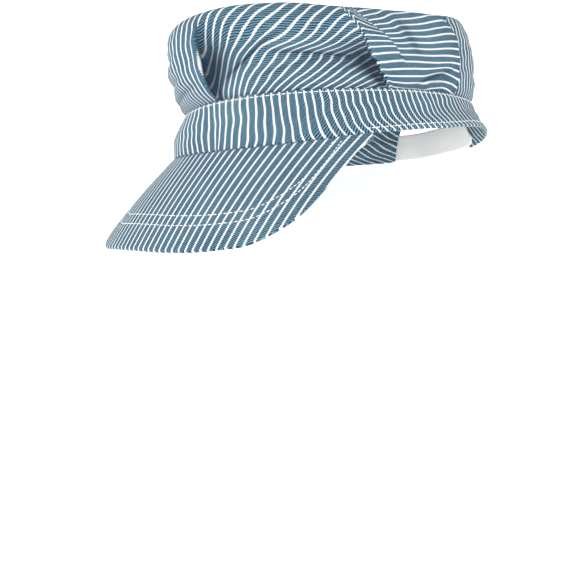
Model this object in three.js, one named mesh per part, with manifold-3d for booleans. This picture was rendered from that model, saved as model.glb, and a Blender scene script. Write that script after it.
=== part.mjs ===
// Railroad engineer cap in striped denim: a pleated soft crown, an upright band that is open at the
// back, a stiff curved visor and the tape that closes the band behind.
// Millimetres, +Z up. The front faces -Y and the wearer's left is +X. The cap rests on the rim of
// its visor and on a back corner of its band, as it does when it is laid on a table.
import * as THREE from 'three';
import { mergeVertices } from 'three/addons/utils/BufferGeometryUtils.js';
import Module from 'manifold-3d';

const wasm = await Module();
wasm.setup();

// Seam between the crown and the band
const seamLength = 214;
const seamWidth = 155;
const seamWave = 2.5;

// Band
const bandHeight = 31;
const bandFlare = 11;
const bandWall = 2.2;
const bandCrease = 1.2;
const gapWidth = 58;
const gapTopWidth = 38;

// Crown
const crownHeight = 54;
const crownPuff = 11;
const crownWall = 1.8;
const pleatTuck = 4;
const pleatCloth = 1.3;
const pleatHollow = 9;
const wrinkleDepth = 3;

// Visor
const visorReach = 76;
const visorHalfArc = 96;
const visorWall = 2.6;
const visorFanBack = 77;
const visorFanRise = 86;
const visorFanSide = 8;
const visorDroop = 5;

// Adjuster tape
const tapeWidth = 17;
const tapeWall = 1.6;
const tapeLap = 8;
const tapeCorner = 5;
const tapeLift = 1;
const tapePull = 3;

// Clearances
const sewnGap = 0.3;
const floorTrim = 0.6;

// How finely each piece is divided
const bandSteps = 60;
const bandRows = 5;
const visorSteps = 44;
const visorRows = 9;
const tapeSteps = 14;
const tapeRows = 4;
const cornerSteps = 4;

// Turn is in degrees round the head, 0 at the front and growing towards the wearer's left.
// wave is a share of seamWave, drop of bandHeight, flare of bandFlare, crease of bandCrease, where a
// negative share bulges out, and rise of crownHeight.
const around = [
  { turn: -180, wave: -0.4, drop: 0.8, flare: 0.3, crease: 0.6, rise: 0.80 },
  { turn: -150, wave: -0.4, drop: 0.74, flare: 0.5, crease: 0.6, rise: 0.82 },
  { turn: -120, wave: -0.2, drop: 0.7, flare: 0.8, crease: 1.0, rise: 0.92 },
  { turn: -90, wave: 0.0, drop: 0.68, flare: 1.0, crease: -1.0, rise: 0.88 },
  { turn: -60, wave: 0.4, drop: 0.68, flare: 1.0, crease: -3.0, rise: 0.93 },
  { turn: -30, wave: 0.8, drop: 0.84, flare: 0.8, crease: -2.0, rise: 1.0 },
  { turn: 0, wave: 1.0, drop: 0.97, flare: 0.45, crease: 0.4, rise: 1.02 },
  { turn: 30, wave: 0.7, drop: 1.0, flare: 0.35, crease: 1.0, rise: 0.99 },
  { turn: 60, wave: 0.3, drop: 0.9, flare: 0.45, crease: 1.0, rise: 0.9 },
  { turn: 90, wave: 0.0, drop: 0.77, flare: 0.6, crease: 1.0, rise: 0.86 },
  { turn: 120, wave: -0.3, drop: 0.62, flare: 0.8, crease: 1.0, rise: 0.92 },
  { turn: 150, wave: -0.6, drop: 0.72, flare: 0.6, crease: 1.0, rise: 0.82 },
];

// The crown's side and top, from the seam to its middle. rise is a share of the local crown height,
// front, side and back are shares of crownPuff, and drawn is how far the ring has closed towards
// the middle of the crown.
const crownRows = [
  { rise: 0.0, front: 0.0, side: 0.0, back: 0.0, drawn: 0 },
  { rise: 0.05, front: 0.22, side: 0.1, back: 0.03, drawn: 0 },
  { rise: 0.12, front: 0.5, side: 0.24, back: 0.07, drawn: 0 },
  { rise: 0.21, front: 0.78, side: 0.38, back: 0.1, drawn: 0 },
  { rise: 0.31, front: 0.95, side: 0.5, back: 0.12, drawn: 0 },
  { rise: 0.42, front: 1.04, side: 0.6, back: 0.1, drawn: 0 },
  { rise: 0.53, front: 1.06, side: 0.66, back: 0.04, drawn: 0 },
  { rise: 0.64, front: 1.02, side: 0.7, back: -0.1, drawn: 0 },
  { rise: 0.75, front: 0.9, side: 0.7, back: -0.35, drawn: 0 },
  { rise: 0.86, front: 0.66, side: 0.64, back: -0.7, drawn: 0 },
  { rise: 0.95, front: 0.28, side: 0.45, back: -1.1, drawn: 0 },
  { rise: 0.99, front: -0.2, side: 0.05, back: -1.4, drawn: 0.01 },
  { rise: 1.0, front: -0.6, side: -0.4, back: -1.5, drawn: 0.06 },
  { rise: 1.01, front: -0.6, side: -0.5, back: -1.2, drawn: 0.22 },
  { rise: 1.02, front: -0.4, side: -0.4, back: -0.7, drawn: 0.45 },
  { rise: 1.03, front: -0.2, side: -0.2, back: -0.3, drawn: 0.72 },
];
const crownPole = 1.03;

// Pleats of the crown, in order of turn. foot and head are the turn at the seam and at the top, and
// over is 1 where the cloth on the side of the growing turn lies on top and -1 where the other side
// does. tuck and hollow are shares of pleatTuck and pleatHollow, spread is how many degrees the
// hollow takes, fade is the share of the height at which the pleat has run out, and steps is how
// many columns there are to the next pleat.
const pleats = [
  { foot: -108, head: -100, over: 1, tuck: 0.5, hollow: 0.25, spread: 12, fade: 0.97, steps: 8 },
  { foot: -71, head: -46, over: -1, tuck: 0.8, hollow: 0.8, spread: 22, fade: 0.95, steps: 13 },
  { foot: 0, head: -2, over: -1, tuck: 1.0, hollow: 1.0, spread: 24, fade: 0.95, steps: 15 },
  { foot: 71, head: 46, over: 1, tuck: 0.8, hollow: 0.8, spread: 22, fade: 0.95, steps: 8 },
  { foot: 108, head: 100, over: -1, tuck: 0.5, hollow: 0.25, spread: 12, fade: 0.97, steps: 22 },
];

// The four points of a fold, from the cloth that lies on top to the cloth that runs under it. ahead
// is a share of the tuck, past the pleat's line, and up is a share of the height of the fold.
const foldPoints = [
  { ahead: 0, up: 1 },
  { ahead: 0, up: 0.72 },
  { ahead: -1, up: 0.4 },
  { ahead: 0.4, up: 0 },
];
const foldPitch = 1.2;
const foldHalf = 2.9;
const foldClosing = 4.5;

// Dents and swells of the cloth. turn and width are in degrees, at and tall are shares of the
// crown's height, and depth is a share of wrinkleDepth, negative where the cloth swells out.
const dents = [
  { turn: 40, width: 30, at: 0.4, tall: 0.1, depth: 0.9 },
  { turn: 38, width: 30, at: 0.62, tall: 0.1, depth: -0.7 },
  { turn: 15, width: 9, at: 0.72, tall: 0.12, depth: 0.5 },
  { turn: -35, width: 14, at: 0.3, tall: 0.1, depth: 0.5 },
  { turn: -48, width: 10, at: 0.7, tall: 0.12, depth: 0.4 },
  { turn: 92, width: 10, at: 0.25, tall: 0.12, depth: 0.8 },
  { turn: 96, width: 8, at: 0.6, tall: 0.1, depth: -0.3 },
  { turn: -92, width: 12, at: 0.35, tall: 0.12, depth: 0.7 },
  { turn: 150, width: 10, at: 0.4, tall: 0.16, depth: 0.5 },
  { turn: -160, width: 12, at: 0.5, tall: 0.16, depth: 0.5 },
];

// Length of the visor from its seam to its rim, as shares of visorReach, at shares of its half arc on
// the wearer's right and left.
const visorOutline = [
  { at: 0, right: 0.985, left: 0.985 },
  { at: 0.15, right: 0.955, left: 1.0 },
  { at: 0.3, right: 0.93, left: 0.99 },
  { at: 0.38, right: 0.92, left: 0.965 },
  { at: 0.47, right: 0.905, left: 0.88 },
  { at: 0.57, right: 0.82, left: 0.745 },
  { at: 0.67, right: 0.58, left: 0.54 },
  { at: 0.78, right: 0.33, left: 0.32 },
  { at: 0.89, right: 0.15, left: 0.14 },
  { at: 1.0, right: 0.04, left: 0.04 },
];

const denimMaterial = new THREE.MeshStandardMaterial({ color: 0x6a8cab, roughness: 0.9, metalness: 0 });
const tapeMaterial = new THREE.MeshStandardMaterial({ color: 0xd9dcda, roughness: 0.85, metalness: 0 });

const { degToRad, radToDeg, lerp, smoothstep, euclideanModulo, clamp } = THREE.MathUtils;
const degreesPerMm = radToDeg(4 / (seamLength + seamWidth));

// Smooth curve through the values of one column, with slopes taken from the neighbouring rows.
function curveThrough(rows, at, column, x) {
  const last = rows.length - 1;
  let i = 0;
  while (i < last - 1 && x > rows[i + 1][at]) i += 1;
  const slope = (k) => {
    const a = rows[Math.max(k - 1, 0)];
    const b = rows[Math.min(k + 1, last)];
    return (b[column] - a[column]) / (b[at] - a[at]);
  };
  const span = rows[i + 1][at] - rows[i][at];
  const s = clamp((x - rows[i][at]) / span, 0, 1);
  const start = (2 * s ** 3 - 3 * s ** 2 + 1) * rows[i][column] + (s ** 3 - 2 * s ** 2 + s) * span * slope(i);
  const end = (3 * s ** 2 - 2 * s ** 3) * rows[i + 1][column] + (s ** 3 - s ** 2) * span * slope(i + 1);
  return start + end;
}

// The table round the head, carried past both of its ends because it closes on itself.
const wholeTurns = [
  ...around.slice(-2).map((row) => ({ ...row, turn: row.turn - 360 })),
  ...around,
  ...around.slice(0, 3).map((row) => ({ ...row, turn: row.turn + 360 })),
];

function aroundValue(column, turn) {
  const first = around[0].turn;
  return curveThrough(wholeTurns, 'turn', column, euclideanModulo(turn - first, 360) + first);
}

// Signed turn from one place to another, the short way.
function turnFrom(start, turn) {
  return euclideanModulo(turn - start + 180, 360) - 180;
}

function seamPoint(turn) {
  const x = (seamWidth / 2) * Math.sin(degToRad(turn));
  const y = -(seamLength / 2) * Math.cos(degToRad(turn));
  return new THREE.Vector3(x, y, seamWave * aroundValue('wave', turn));
}

function outward(turn) {
  const x = Math.sin(degToRad(turn)) / seamWidth;
  const y = -Math.cos(degToRad(turn)) / seamLength;
  return new THREE.Vector3(x, y, 0).normalize();
}

function solidGeometry(points, triangles) {
  const geometry = new THREE.BufferGeometry();
  geometry.setAttribute('position', new THREE.Float32BufferAttribute(points.flatMap((p) => p.toArray()), 3));
  geometry.setIndex(triangles);
  return geometry;
}

// Closed wall between two grids of points, with rims along the open edges. A grid is a list of
// columns. A ring closes on itself, and poles close the ends of its columns.
function wallGeometry(outer, inner, { ring = false, outerPole = null, innerPole = null } = {}) {
  const points = [];
  const triangles = [];
  const place = (grid) => grid.map((column) => column.map((point) => points.push(point) - 1));
  const quad = (a, b, c, d) => triangles.push(a, b, c, a, c, d);
  const front = place(outer);
  const back = place(inner);
  const columns = front.length;
  const spans = ring ? columns : columns - 1;
  for (let i = 0; i < spans; i += 1) {
    const [a, b] = [front[i], front[(i + 1) % columns]];
    const [c, d] = [back[i], back[(i + 1) % columns]];
    for (let j = 0; j < a.length - 1; j += 1) quad(a[j], b[j], b[j + 1], a[j + 1]);
    for (let j = 0; j < c.length - 1; j += 1) quad(d[j], c[j], c[j + 1], d[j + 1]);
    quad(b[0], a[0], c[0], d[0]);
    if (!outerPole) quad(a.at(-1), b.at(-1), d.at(-1), c.at(-1));
  }
  if (outerPole) {
    const top = points.push(outerPole) - 1;
    const under = points.push(innerPole) - 1;
    for (let i = 0; i < spans; i += 1) {
      const n = (i + 1) % columns;
      triangles.push(front[i].at(-1), front[n].at(-1), top);
      triangles.push(back[n].at(-1), back[i].at(-1), under);
    }
  }
  if (!ring) {
    for (let j = 0; j < front[0].length - 1; j += 1) {
      quad(front[0][j], front[0][j + 1], back[0][j + 1], back[0][j]);
      quad(front.at(-1)[j + 1], front.at(-1)[j], back.at(-1)[j], back.at(-1)[j + 1]);
    }
  }
  return solidGeometry(points, triangles);
}

// Band: each column runs down from the seam, leans out by its flare and has a soft crease half way.
function bandPoint(turn, depth, inset) {
  const flare = bandFlare * aroundValue('flare', turn) * depth;
  const crease = bandCrease * aroundValue('crease', turn) * Math.sin(Math.PI * depth) ** 2;
  const point = seamPoint(turn).addScaledVector(outward(turn), flare - crease - inset);
  point.z -= bandHeight * aroundValue('drop', turn) * depth;
  return point;
}

// Turn at which the back of the cap is the given length to the side of its middle.
function backTurn(side) {
  return 180 - radToDeg(Math.asin(side / (seamWidth / 2)));
}

// The gap narrows upwards into an arch.
function bandGeometry() {
  const grid = (inset) => Array.from({ length: bandSteps + 1 }, (_, i) => {
    const share = 1 - (2 * i) / bandSteps;
    return Array.from({ length: bandRows + 1 }, (__, j) => {
      const depth = j / bandRows;
      const end = backTurn(lerp(gapTopWidth, gapWidth, Math.sqrt(depth)) / 2);
      return bandPoint(end * share, depth, inset);
    });
  });
  return wallGeometry(grid(0), grid(bandWall));
}

// Crown without its pleats and dents: the puffed side and the flat top.
function crownPoint(turn, row) {
  const lengthwise = Math.cos(degToRad(turn));
  const puff = crownPuff * lerp(row.side, lengthwise > 0 ? row.front : row.back, lengthwise ** 2);
  const height = crownHeight * aroundValue('rise', turn);
  const point = seamPoint(turn).addScaledVector(outward(turn), puff);
  point.x *= 1 - row.drawn;
  point.y *= 1 - row.drawn;
  point.z = lerp(point.z, 0, row.drawn) + sewnGap + lerp(height, crownHeight, row.drawn) * row.rise;
  return point;
}

function dentDepth(turn, rise) {
  let depth = 0;
  for (const dent of dents) {
    const across = turnFrom(dent.turn, turn) / dent.width;
    const up = (rise - dent.at) / dent.tall;
    depth += wrinkleDepth * dent.depth * Math.exp(-across * across - up * up);
  }
  return depth;
}

function clothPoint(turn, row, lift) {
  return crownPoint(turn, row).addScaledVector(outward(turn), lift - dentDepth(turn, row.rise));
}

// How strongly a pleat shows at this height: it opens above the seam and runs out near the top.
function pleatStrength(pleat, rise) {
  return smoothstep(rise, -0.15, 0.35) * (1 - smoothstep(rise, 0.55 * pleat.fade, pleat.fade));
}

function pleatTurn(pleat, rise) {
  return lerp(pleat.foot, pleat.head, Math.min(rise, 1));
}

// The sunken cloth beside each pleat, on the side that runs under the fold. On the other side the
// hollow ends at the fold itself, or within the given width on the inner face of the cloth.
function hollowDepth(turn, rise, closing) {
  let depth = 0;
  for (const pleat of pleats) {
    const away = -pleat.over * turnFrom(pleatTurn(pleat, rise), turn);
    const width = away >= 0 ? pleat.spread : closing;
    const inside = width > 0 ? Math.exp(-((away / width) ** 2)) : 0;
    depth += pleatHollow * pleat.hollow * pleatStrength(pleat, rise) * inside;
  }
  return depth;
}

// Columns of the crown in order of turn: four for each pleat and plain ones between them.
function crownColumns() {
  return pleats.flatMap((pleat, index) => {
    const next = pleats[(index + 1) % pleats.length];
    const order = pleat.over < 0 ? foldPoints : [...foldPoints].reverse();
    const folded = order.map((fold, k) => ({ pleat, fold, place: k - (order.length - 1) / 2 }));
    const plain = Array.from({ length: pleat.steps - 1 }, (_, s) => (
      { from: pleat, to: next, share: (s + 1) / pleat.steps }));
    return [...folded, ...plain];
  });
}

function plainTurn(column, rise) {
  const start = pleatTurn(column.from, rise) + foldHalf * degreesPerMm;
  const end = pleatTurn(column.to, rise) - foldHalf * degreesPerMm;
  return start + euclideanModulo(end - start, 360) * column.share;
}

function outerCloth(column, row) {
  if (!column.pleat) {
    const turn = plainTurn(column, row.rise);
    return clothPoint(turn, row, -hollowDepth(turn, row.rise, 0));
  }
  const { pleat, fold, place } = column;
  const line = pleatTurn(pleat, row.rise);
  const strength = pleatStrength(pleat, row.rise);
  const flat = place * foldPitch;
  const folded = -pleat.over * fold.ahead * pleatTuck * pleat.tuck + 0.2 * flat;
  const lift = lerp(-hollowDepth(line, row.rise, 0), pleatCloth * strength, fold.up);
  return clothPoint(line + lerp(flat, folded, strength) * degreesPerMm, row, lift);
}

function innerCloth(column, row) {
  const turn = column.pleat
    ? pleatTurn(column.pleat, row.rise) + column.place * foldPitch * degreesPerMm
    : plainTurn(column, row.rise);
  const point = clothPoint(turn, row, -hollowDepth(turn, row.rise, foldClosing) - crownWall);
  point.z -= crownWall * smoothstep(row.rise, 0.88, 1);
  return point;
}

function crownGeometry() {
  const columns = crownColumns();
  const innerRows = crownRows.filter((row, i) => i % 2 === 0 || i === crownRows.length - 1);
  const outer = columns.map((column) => crownRows.map((row) => outerCloth(column, row)));
  const inner = columns.map((column) => innerRows.map((row) => innerCloth(column, row)));
  const outerPole = new THREE.Vector3(0, 0, sewnGap + crownHeight * crownPole);
  const innerPole = outerPole.clone().setZ(outerPole.z - crownWall);
  return wallGeometry(outer, inner, { ring: true, outerPole, innerPole });
}

// Visor: a stiff sheet that runs down and forwards from the lower edge of the band. Its lines fan
// out from one point behind and above, and it droops a little towards its rim.
const fanPoint = new THREE.Vector3(visorFanSide, visorFanBack - seamLength / 2, visorFanRise - bandHeight);

function visorRoot(turn) {
  return bandPoint(turn, 1, 0).add(new THREE.Vector3(0, 0, -sewnGap));
}

// Turn at which the visor's seam is the given length from the middle of the front.
function visorTurn(arc) {
  const step = 0.5;
  let turn = 0;
  for (let length = 0; length < arc; turn += step) {
    length += visorRoot(turn).distanceTo(visorRoot(turn + step));
  }
  return turn;
}

function visorPoint(turn, along) {
  const root = visorRoot(turn);
  const line = root.clone().sub(fanPoint).normalize();
  const droop = visorDroop * (along / visorReach) ** 3;
  return root.addScaledVector(line, along).add(new THREE.Vector3(0, droop / 3, -droop));
}

function visorUnder(turn, along) {
  const step = 0.5;
  const point = visorPoint(turn, along);
  const across = visorPoint(turn + step, along).sub(point);
  const down = visorPoint(turn, along + step).sub(point);
  return point.addScaledVector(across.cross(down).normalize(), visorWall);
}

function visorGeometry() {
  const edge = visorTurn(visorHalfArc);
  const grid = (surface) => Array.from({ length: visorSteps + 1 }, (_, i) => {
    const share = Math.sin((Math.PI / 2) * ((2 * i) / visorSteps - 1));
    const side = share < 0 ? 'right' : 'left';
    const length = visorReach * curveThrough(visorOutline, 'at', side, Math.abs(share));
    return Array.from({ length: visorRows + 1 }, (__, j) => (
      surface(edge * share, length * (1 - j / visorRows))));
  });
  return wallGeometry(grid(visorPoint), grid(visorUnder));
}

// Adjuster tape: it leaves the outside of the wearer's right end of the band, crosses the gap and
// lies on the inside of the left end. Its corners are rounded.
function tapeGeometry() {
  const straight = gapWidth / 2 + tapeLap - tapeCorner;
  const corner = Array.from({ length: cornerSteps }, (_, k) => {
    const angle = (Math.PI / 2) * ((k + 1) / cornerSteps);
    return { side: straight + tapeCorner * Math.sin(angle), trim: tapeCorner * (1 - Math.cos(angle)) };
  });
  const middle = Array.from({ length: tapeSteps + 1 }, (_, k) => (
    { side: straight * ((2 * k) / tapeSteps - 1), trim: 0 }));
  const stations = [
    ...corner.map(({ side, trim }) => ({ side: -side, trim })).reverse(),
    ...middle,
    ...corner,
  ];
  const grid = (inset) => stations.map(({ side, trim }) => {
    const turn = backTurn(side);
    const height = bandHeight * aroundValue('drop', turn);
    const crossed = smoothstep(side, -gapTopWidth / 2, gapTopWidth / 2);
    const pulled = tapePull * Math.max(0, 1 - (side / (gapTopWidth / 2)) ** 2) ** 2;
    const layer = lerp(-tapeWall - sewnGap, bandWall + sewnGap, crossed) + pulled + inset;
    const low = 1 - (tapeLift + trim) / height;
    const high = 1 - (tapeLift + tapeWidth - trim) / height;
    return Array.from({ length: tapeRows + 1 }, (_, j) => (
      bandPoint(turn, lerp(high, low, j / tapeRows), layer)));
  });
  return wallGeometry(grid(0), grid(tapeWall));
}

function pointsOf(geometry, keep = () => true) {
  const position = geometry.getAttribute('position');
  const points = Array.from({ length: position.count }, (_, i) => (
    new THREE.Vector3().fromBufferAttribute(position, i)));
  return points.filter(keep);
}

function lowestPoint(points, pose) {
  const moved = points.map((point) => point.clone().applyMatrix4(pose));
  return moved.reduce((low, point) => (point.z < low.z ? point : low));
}

// Pitch and roll at which both sides of the visor's rim and the lower back corner of the band touch
// one level plane.
function restingPose(visor, band) {
  const rightRim = pointsOf(visor, (point) => point.x < 0);
  const leftRim = pointsOf(visor, (point) => point.x > 0);
  const corners = pointsOf(band, (point) => point.y > 0);
  const turned = new THREE.Euler();
  const pose = new THREE.Matrix4();
  for (let round = 0; round < 60; round += 1) {
    const right = lowestPoint(rightRim, pose);
    const left = lowestPoint(leftRim, pose);
    const back = lowestPoint(corners, pose);
    const front = right.clone().lerp(left, 0.5);
    turned.x += (front.z - back.z) / (back.y - front.y);
    turned.y += (left.z - right.z) / (left.x - right.x);
    pose.makeRotationFromEuler(turned);
  }
  return pose.setPosition(0, 0, -floorTrim - lowestPoint(leftRim, pose).z);
}

function toSolid(geometry) {
  const plain = new THREE.BufferGeometry();
  plain.setAttribute('position', geometry.getAttribute('position'));
  plain.setIndex(geometry.getIndex());
  const merged = mergeVertices(plain);
  return new wasm.Manifold(new wasm.Mesh({
    numProp: 3,
    vertProperties: new Float32Array(merged.getAttribute('position').array),
    triVerts: new Uint32Array(merged.getIndex().array),
  }));
}

function fromSolid(solid) {
  const mesh = solid.getMesh();
  const geometry = new THREE.BufferGeometry();
  geometry.setAttribute('position', new THREE.Float32BufferAttribute(mesh.vertProperties, 3));
  geometry.setIndex(new THREE.Uint32BufferAttribute(mesh.triVerts, 1));
  return geometry;
}

// What would sink into the table is flattened against it.
function flattened(geometry) {
  const side = 4 * seamLength;
  const table = new THREE.BoxGeometry(side, side, side).translate(0, 0, -side / 2);
  return fromSolid(toSolid(geometry).subtract(toSolid(table)));
}

const pieces = {
  crown: [crownGeometry(), denimMaterial],
  band: [bandGeometry(), denimMaterial],
  visor: [visorGeometry(), denimMaterial],
  back_strap: [tapeGeometry(), tapeMaterial],
};
const pose = restingPose(pieces.visor[0], pieces.band[0]);

const cap = new THREE.Group();
for (const [name, [geometry, material]] of Object.entries(pieces)) {
  const mesh = new THREE.Mesh(flattened(geometry.applyMatrix4(pose)), material.clone());
  mesh.name = name;
  cap.add(mesh);
}

// The origin is under the middle of the whole cap.
const middle = new THREE.Box3().setFromObject(cap).getCenter(new THREE.Vector3());
cap.position.set(-middle.x, -middle.y, 0);

const group = new THREE.Group();
group.add(cap);

export default group;
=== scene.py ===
import math

import bpy
import numpy as np
from mathutils import Euler, Matrix, Vector


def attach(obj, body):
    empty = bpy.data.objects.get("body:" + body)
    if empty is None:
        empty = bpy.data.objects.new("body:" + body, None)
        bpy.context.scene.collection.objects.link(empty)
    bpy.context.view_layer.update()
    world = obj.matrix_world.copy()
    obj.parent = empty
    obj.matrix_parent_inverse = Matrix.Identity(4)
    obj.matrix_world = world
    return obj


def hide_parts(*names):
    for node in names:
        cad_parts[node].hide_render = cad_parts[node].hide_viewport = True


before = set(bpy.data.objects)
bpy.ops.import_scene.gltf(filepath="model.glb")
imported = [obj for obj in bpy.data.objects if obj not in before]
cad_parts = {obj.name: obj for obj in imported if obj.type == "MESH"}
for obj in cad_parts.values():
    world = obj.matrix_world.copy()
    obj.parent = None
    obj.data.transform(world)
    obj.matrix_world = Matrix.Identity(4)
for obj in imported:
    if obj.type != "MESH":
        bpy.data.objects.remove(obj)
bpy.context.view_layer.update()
mm = 0.001
stripePitch = 4.75
turnStep = 0.5  # degrees between the samples round the head

# The cap in its own head frame: the seam of crown and band lies level round the origin.
# Turn is in degrees round the head, 0 at the front and growing towards the wearer's left.
head = {
    "pitch": -12.9173, "roll": -6.4032, "place": (1.208, 34.182, 49.657),
    "seamLength": 214, "seamWidth": 155, "seamWave": 2.5,
}
headLean = [math.radians(head["pitch"]), math.radians(head["roll"]), 0]
headPose = Euler(headLean, "XYZ").to_matrix().to_4x4()
headPose.translation = Vector(head["place"])
perMm = math.degrees(4 / (head["seamLength"] + head["seamWidth"]))  # degrees of turn in 1 mm of seam

# round the head, as shares of the sizes of the same or a like name: wave of the seam, drop, flare and
# crease of the band, and rise of the crown
around = {
    "turn": [-180, -150, -120, -90, -60, -30, 0, 30, 60, 90, 120, 150],
    "wave": [-0.4, -0.4, -0.2, 0.0, 0.4, 0.8, 1.0, 0.7, 0.3, 0.0, -0.3, -0.6],
    "drop": [0.8, 0.74, 0.7, 0.68, 0.68, 0.84, 0.97, 1.0, 0.9, 0.77, 0.62, 0.72],
    "flare": [0.3, 0.5, 0.8, 1.0, 1.0, 0.8, 0.45, 0.35, 0.45, 0.6, 0.8, 0.6],
    "crease": [0.6, 0.6, 1.0, -1.0, -3.0, -2.0, 0.4, 1.0, 1.0, 1.0, 1.0, 1.0],
    "rise": [0.8, 0.82, 0.92, 0.88, 0.93, 1.0, 1.02, 0.99, 0.9, 0.88, 0.94, 0.82],
}
ripples = {"waves": 7, "stretch": (0.7, 1.6), "share": 0.25}


def through(xs, ys, x):
    # smooth curve through the values, with slopes taken from the neighbours
    xs, ys, x = np.asarray(xs, float), np.asarray(ys, float), np.asarray(x, float)
    last = len(xs) - 1
    i = np.clip(np.searchsorted(xs, x, side="left") - 1, 0, last - 1)
    low, high = np.maximum(np.arange(last + 1) - 1, 0), np.minimum(np.arange(last + 1) + 1, last)
    slope = (ys[high] - ys[low]) / (xs[high] - xs[low])
    span = xs[i + 1] - xs[i]
    s = np.clip((x - xs[i]) / span, 0, 1)
    start = (2 * s**3 - 3 * s**2 + 1) * ys[i] + (s**3 - 2 * s**2 + s) * span * slope[i]
    end = (3 * s**2 - 2 * s**3) * ys[i + 1] + (s**3 - s**2) * span * slope[i + 1]
    return start + end


def aroundValue(column, turn):
    turns = np.array(around["turn"], float)
    turns = np.concatenate([turns[-2:] - 360, turns, turns[:3] + 360])
    values = np.array(around[column])
    values = np.concatenate([values[-2:], values, values[:3]])
    return through(turns, values, np.mod(np.asarray(turn, float) + 180, 360) - 180)


def smooth(x, low, high):
    s = np.clip((np.asarray(x, float) - low) / (high - low), 0, 1)
    return s * s * (3 - 2 * s)


def turnFrom(start, turn):
    return np.mod(turn - start + 180, 360) - 180


def seamPoint(turn):
    t = np.radians(turn)
    return np.stack([
        head["seamWidth"] / 2 * np.sin(t),
        -head["seamLength"] / 2 * np.cos(t),
        head["seamWave"] * aroundValue("wave", turn),
    ], -1)


def outward(turn):
    t = np.radians(turn)
    n = np.stack([np.sin(t) / head["seamWidth"], -np.cos(t) / head["seamLength"], np.zeros_like(t)], -1)
    return n / np.linalg.norm(n, axis=-1, keepdims=True)


allTurns = np.arange(-360, 721, turnStep)
allSteps = np.linalg.norm(np.diff(seamPoint(allTurns)[:, :2], axis=0), axis=-1)
allArcs = np.concatenate([[0], np.cumsum(allSteps)])
allArcs -= np.interp(0, allTurns, allArcs)


def arcOf(turn):
    # length along the seam from the middle of the front, in mm
    return np.interp(turn, allTurns, allArcs)


def ripple(a, b, seed, size):
    # smooth value from about -1 to 1 over two lengths in mm, the same at every run
    draw = np.random.default_rng(seed)
    value = np.zeros(np.broadcast(a, b).shape)
    for k in range(ripples["waves"]):
        angle = draw.uniform(0, math.pi)
        phase = draw.uniform(0, 2 * math.pi)
        stretch = draw.uniform(*ripples["stretch"])
        along = a * math.cos(angle) + b * math.sin(angle)
        value = value + np.sin(along * 2 * math.pi / (size * stretch) + phase)
    return value * ripples["share"]


def makeGrid(name, points, uvs, closed=False, pole=None, poleUv=None, shadeCorners=None):
    # points is a grid [column][row]; uvs hold a value for each corner of each face, in mm; the last argument
    # holds for the same corners the painted shade in the pockets and creases, from 0 to 1
    columns, rows = points.shape[:2]
    spans = columns if closed else columns - 1
    flat = (np.c_[points.reshape(-1, 3), np.ones(columns * rows)] @ np.array(headPose).T)[:, :3] * mm
    verts = [tuple(p) for p in flat]
    faces, corners, cornerShades = [], [], []
    for i in range(spans):
        n = (i + 1) % columns
        for j in range(rows - 1):
            faces.append((i * rows + j, i * rows + j + 1, n * rows + j + 1, n * rows + j))
            corners += list(uvs[i, j])
            cornerShades += [0, 0, 0, 0] if shadeCorners is None else list(shadeCorners[i, j])
        if pole is not None:
            faces.append((i * rows + rows - 1, len(verts), n * rows + rows - 1))
            corners += [poleUv[i], poleUv[-1], poleUv[n]]
            cornerShades += [0, 0, 0]
    if pole is not None:
        verts.append(tuple((headPose @ Vector(pole)) * mm))
    mesh = bpy.data.meshes.new(name)
    mesh.from_pydata(verts, [], faces)
    cloth = mesh.uv_layers.new(name="cloth")
    cloth.data.foreach_set("uv", (np.array(corners, float) / stripePitch).astype(np.float32).ravel())
    # a second uv layer carries the painted shade to the material
    paintedShade = mesh.uv_layers.new(name="paintedShade")
    paintedShade.data.foreach_set("uv", np.repeat(np.array(cornerShades, np.float32), 2))
    piece = bpy.data.objects.new(name, mesh)
    bpy.context.scene.collection.objects.link(piece)
    shadeSmooth(piece)
    return piece


def quadUvs(u, v):
    # the same values for the faces on both sides of a line of points
    n = np.roll(np.arange(u.shape[0]), -1)
    uv = np.stack([u, v], -1)
    corners = [uv[:, :-1], uv[:, 1:], uv[n][:, 1:], uv[n][:, :-1]]
    return np.stack(corners, 2)


def deselectAll():
    bpy.ops.object.select_all(action="DESELECT")


def shadeSmooth(piece):
    piece.data.polygons.foreach_set("use_smooth", [True] * len(piece.data.polygons))


def applyAll(piece):
    deselectAll()
    piece.select_set(True)
    bpy.context.view_layer.objects.active = piece
    for modifier in list(piece.modifiers):
        bpy.ops.object.modifier_apply(modifier=modifier.name)


def flattenWhereItRests(piece):
    for vertex in piece.data.vertices:
        vertex.co.z = max(vertex.co.z, 0)


def thicken(piece, wall, rounds=0):
    # the wall grows from the modelled face, against its normals
    solid = piece.modifiers.new("wall", "SOLIDIFY")
    solid.thickness = wall * mm
    solid.offset = -1
    solid.use_even_offset = False
    if rounds:
        soft = piece.modifiers.new("soft", "SUBSURF")
        soft.levels = rounds
        soft.render_levels = rounds
    applyAll(piece)
    flattenWhereItRests(piece)
    shadeSmooth(piece)


# Band
band = {
    "height": 31, "flare": 11, "wall": 2.2, "crease": 1.2, "gapWidth": 58, "gapTopWidth": 38,
    "columns": 300, "rows": 15, "firstStripe": 5.6,
    "ruck": 0.6, "ruckSize": 24, "ruckTall": 2.2, "ruckSeed": 5, "ruckFade": 0.7,
    "sway": 0.9, "swaySize": 26, "swayTall": 1.6, "swaySeed": 9, "swayFrom": 0.3,
    "twist": 0.55, "twistFront": 0.1, "twistTurns": (15, 70), "kinkFrom": 0.3, "kinkWave": 0.1,
    "insideSlant": 0.9,
}


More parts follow.
